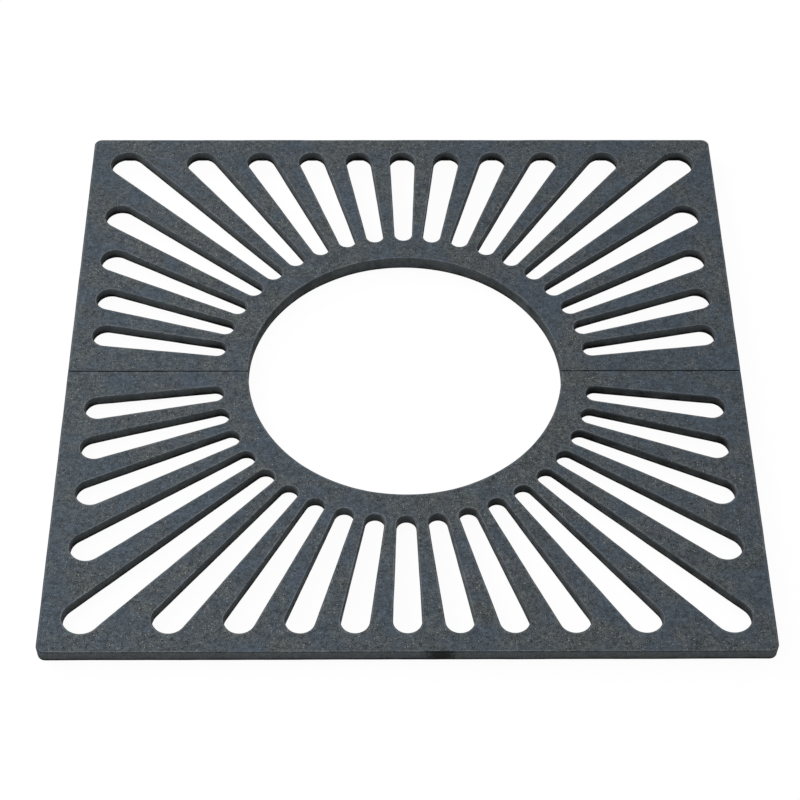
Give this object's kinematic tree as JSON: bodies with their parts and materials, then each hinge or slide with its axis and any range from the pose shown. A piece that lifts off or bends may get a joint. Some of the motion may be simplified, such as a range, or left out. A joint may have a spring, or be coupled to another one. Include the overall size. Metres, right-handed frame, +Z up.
{
  "type": "tree grate",
  "caption": "Square cast iron tree grate in two bolted halves, with a round trunk opening and tapered slots radiating from it.",
  "frame": {"origin": "centre of the round opening, on the level that the ring rib and the joint flanges stand on", "axes": "+Z up out of the walking face, +X along the seam, -Y towards the front half, on whose side the bolt heads are"},
  "size_m": [1, 1, 0.034],
  "materials": {
    "cast_iron": "sand cast, thin matt charcoal paint",
    "zinc_steel": "dull zinc plating"
  },
  "bodies": {
    "root": {"rear_half": "cast_iron", "front_half": "cast_iron", "bolt_right_inner": "zinc_steel", "head_washer_right_inner": "zinc_steel", "nut_washer_right_inner": "zinc_steel", "spring_washer_right_inner": "zinc_steel", "nut_right_inner": "zinc_steel", "bolt_right_outer": "zinc_steel", "head_washer_right_outer": "zinc_steel", "nut_washer_right_outer": "zinc_steel", "spring_washer_right_outer": "zinc_steel", "nut_right_outer": "zinc_steel", "bolt_left_inner": "zinc_steel", "head_washer_left_inner": "zinc_steel", "nut_washer_left_inner": "zinc_steel", "spring_washer_left_inner": "zinc_steel", "nut_left_inner": "zinc_steel", "bolt_left_outer": "zinc_steel", "head_washer_left_outer": "zinc_steel", "nut_washer_left_outer": "zinc_steel", "spring_washer_left_outer": "zinc_steel", "nut_left_outer": "zinc_steel"}
  },
  "joints": []
}
